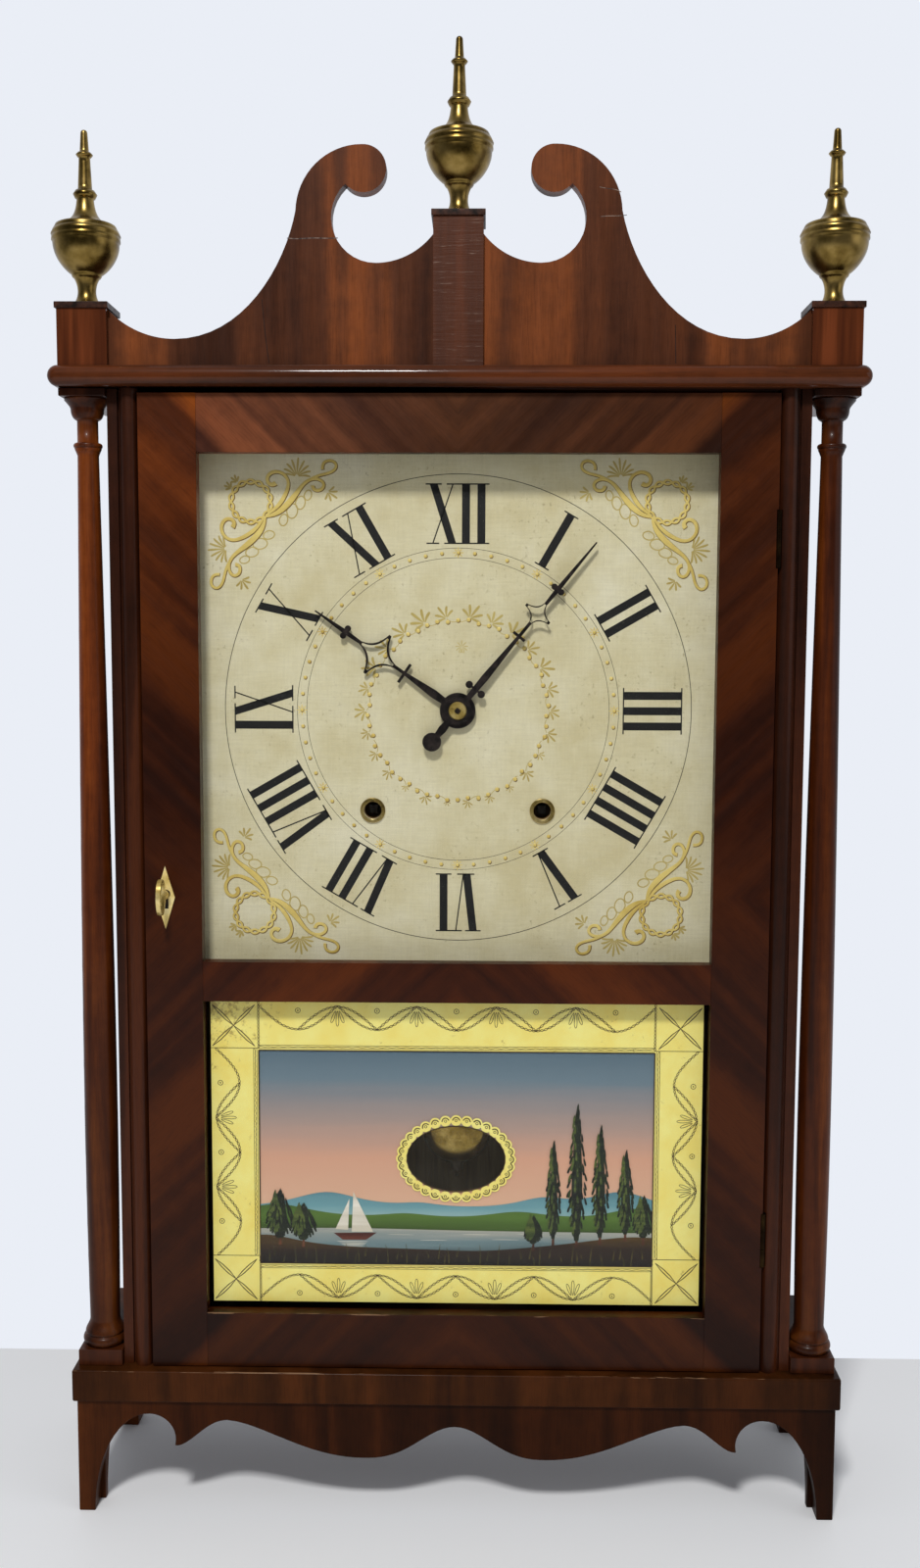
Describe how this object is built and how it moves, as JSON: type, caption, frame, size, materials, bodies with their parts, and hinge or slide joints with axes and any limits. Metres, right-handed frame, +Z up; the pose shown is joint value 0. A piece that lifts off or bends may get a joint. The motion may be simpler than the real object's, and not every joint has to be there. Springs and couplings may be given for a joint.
{
  "type": "pillar and scroll clock",
  "caption": "Mahogany pillar and scroll shelf clock: scrolled crest, brass urn finials, slender pillars, glazed door with painted tablet, wooden weight-driven movement.",
  "frame": {"origin": "on the floor, midway between the outermost faces", "axes": "+X to the viewer's right, +Y from front to back, +Z up"},
  "size_m": [0.428, 0.121, 0.7954],
  "materials": {
    "mahogany": "dark red-brown mahogany, old shellac gloss",
    "veneer": "figured mahogany veneer set on the diagonal, glossy",
    "cap_wood": "blackened wood",
    "pine": "bare pine",
    "dial_paint": "cream oil paint on a wooden board, aged",
    "oak": "bare oak",
    "cherry": "bare turned cherry",
    "brass": "aged olive-gold brass with dark wear",
    "bell_metal": "dull cast bell metal",
    "iron": "dark wrought and cast iron",
    "hand_black": "blackened pewter hands",
    "glass": "thin clear old glass",
    "tablet": "glass painted on its back, with a clear oval",
    "cord": "twisted flax cord"
  },
  "bodies": {
    "case": {"base_board": "mahogany", "front_skirt": "mahogany", "side_skirts": "mahogany", "left_side": "mahogany", "right_side": "mahogany", "back_board": "pine", "cornice_board": "mahogany", "scroll_board": "veneer", "finial_blocks": "veneer", "block_caps": "cap_wood", "corner_finials": "brass", "middle_finial": "brass", "left_pillar": "mahogany", "right_pillar": "mahogany", "pillar_blocks": "mahogany", "dial_board": "dial_paint", "winding_grommets": "brass", "case_hinge_leaves": "brass", "hinge_pins": "brass", "front_plate": "oak", "back_plate": "oak", "plate_posts": "oak", "movement_rails": "pine", "suspension_cock": "brass", "bell": "bell_metal", "time_cord": "cord", "strike_cord": "cord"},
    "door": {"lock_stile": "veneer", "hinge_stile": "veneer", "top_rail": "veneer", "middle_rail": "veneer", "bottom_rail": "veneer", "dial_glass": "glass", "tablet_glass": "tablet", "door_hinge_leaves": "brass", "escutcheon": "brass", "lock_case": "iron"},
    "key": {"door_key": "brass"},
    "bolt": {"lock_bolt": "brass"},
    "minute_train": {"minute_hand": "hand_black", "centre_arbor": "iron"},
    "hour_train": {"hour_hand": "hand_black", "hour_wheel": "brass"},
    "reduction": {"minute_wheel": "brass"},
    "pendulum": {"pendulum_rod": "brass", "pendulum_bob": "brass"},
    "verge_body": {"verge": "iron"},
    "time_barrel": {"time_drum": "cherry"},
    "time_first": {"time_great_wheel": "cherry"},
    "time_second": {"time_second_wheel": "cherry"},
    "time_third": {"time_third_wheel": "cherry"},
    "escape": {"escape_wheel": "cherry"},
    "strike_barrel": {"strike_drum": "cherry"},
    "strike_first": {"strike_great_wheel": "cherry"},
    "strike_second": {"strike_pin_wheel": "cherry"},
    "hammer": {"strike_hammer": "iron"},
    "time_load": {"time_weight": "iron"},
    "strike_load": {"strike_weight": "iron"},
    "time_sheave": {"time_pulley": "cherry"},
    "strike_sheave": {"strike_pulley": "cherry"}
  },
  "joints": [
    {"name": "door_swing", "type": "hinge", "parent": "case", "child": "door", "pos_m": [0.1683, -0.0399, 0.3483], "axis": [0, 0, 1], "range_deg": [0, 110]},
    {"name": "key_turn", "type": "hinge", "parent": "door", "child": "key", "pos_m": [-0.157, -0.05, 0.3485], "axis": [0, -1, 0], "range_deg": [0, 240]},
    {"name": "bolt_throw", "type": "slide", "parent": "door", "child": "bolt", "axis": [-1, 0, 0], "range_m": [0, 0.0045]},
    {"name": "minute_turn", "type": "hinge", "parent": "case", "child": "minute_train", "pos_m": [0, -0.02, 0.44705], "axis": [0, 1, 0], "continuous": true},
    {"name": "hour_turn", "type": "hinge", "parent": "case", "child": "hour_train", "pos_m": [0, -0.018, 0.44705], "axis": [0, 1, 0], "continuous": true},
    {"name": "reduction_turn", "type": "hinge", "parent": "case", "child": "reduction", "pos_m": [0.01273, -0.01, 0.45978], "axis": [0, 1, 0], "continuous": true},
    {"name": "pendulum_swing", "type": "hinge", "parent": "case", "child": "pendulum", "pos_m": [0, -0.0073, 0.51176], "axis": [0, 1, 0], "range_deg": [-3.5, 3.5]},
    {"name": "verge_swing", "type": "hinge", "parent": "case", "child": "verge_body", "pos_m": [0, 0.01, 0.51176], "axis": [0, 1, 0], "range_deg": [-3.5, 3.5]},
    {"name": "third_turn", "type": "hinge", "parent": "case", "child": "time_third", "pos_m": [0.02755, 0.02, 0.46248], "axis": [0, 1, 0], "continuous": true},
    {"name": "second_turn", "type": "hinge", "parent": "case", "child": "time_second", "pos_m": [0.044, 0.02, 0.4292], "axis": [0, 1, 0], "continuous": true},
    {"name": "great_turn", "type": "hinge", "parent": "case", "child": "time_first", "pos_m": [0.0464, 0.014, 0.39215], "axis": [0, 1, 0], "continuous": true},
    {"name": "escape_turn", "type": "hinge", "parent": "case", "child": "escape", "pos_m": [0, 0.02, 0.48736], "axis": [0, 1, 0], "continuous": true},
    {"name": "pin_wheel_turn", "type": "hinge", "parent": "case", "child": "strike_second", "pos_m": [-0.044, 0.02, 0.4292], "axis": [0, 1, 0], "continuous": true},
    {"name": "strike_great_turn", "type": "hinge", "parent": "case", "child": "strike_first", "pos_m": [-0.0464, 0.014, 0.39215], "axis": [0, 1, 0], "continuous": true},
    {"name": "hammer_lift", "type": "hinge", "parent": "case", "child": "hammer", "pos_m": [-0.006, 0.0355, 0.35605], "axis": [0, 1, 0], "range_deg": [0, 18]},
    {"name": "time_fall", "type": "slide", "parent": "case", "child": "time_load", "axis": [0, 0, 1], "range_m": [0, 0.355], "deforming": ["time_cord"]},
    {"name": "time_wind", "type": "hinge", "parent": "case", "child": "time_barrel", "pos_m": [0.0464, 0.0255, 0.39215], "axis": [0, 1, 0], "range_deg": [0, 1500]},
    {"name": "time_roll", "type": "hinge", "parent": "case", "child": "time_sheave", "pos_m": [0.111, 0.0255, 0.6215], "axis": [0, 1, 0], "range_deg": [-1850, 0]},
    {"name": "strike_fall", "type": "slide", "parent": "case", "child": "strike_load", "axis": [0, 0, 1], "range_m": [0, 0.355], "deforming": ["strike_cord"]},
    {"name": "strike_wind", "type": "hinge", "parent": "case", "child": "strike_barrel", "pos_m": [-0.0464, 0.0255, 0.39215], "axis": [0, 1, 0], "range_deg": [-1500, 0]},
    {"name": "strike_roll", "type": "hinge", "parent": "case", "child": "strike_sheave", "pos_m": [-0.111, 0.0255, 0.6215], "axis": [0, 1, 0], "range_deg": [0, 1850]}
  ],
  "couplings": [
    {"joint": "key_turn", "follows": "bolt_throw", "rad_per_m": 930.84},
    {"joint": "hour_turn", "follows": "minute_turn", "ratio": 0.083333},
    {"joint": "reduction_turn", "follows": "minute_turn", "ratio": -0.33333},
    {"joint": "verge_swing", "follows": "pendulum_swing", "ratio": 1},
    {"joint": "second_turn", "follows": "third_turn", "ratio": -0.125},
    {"joint": "great_turn", "follows": "third_turn", "ratio": 0.015625},
    {"joint": "escape_turn", "follows": "third_turn", "ratio": -8},
    {"joint": "strike_great_turn", "follows": "pin_wheel_turn", "ratio": -0.125},
    {"joint": "time_wind", "follows": "time_fall", "rad_per_m": 73.529},
    {"joint": "strike_wind", "follows": "strike_fall", "rad_per_m": -73.529},
    {"joint": "time_roll", "follows": "time_fall", "rad_per_m": -90.909},
    {"joint": "strike_roll", "follows": "strike_fall", "rad_per_m": 90.909}
  ]
}
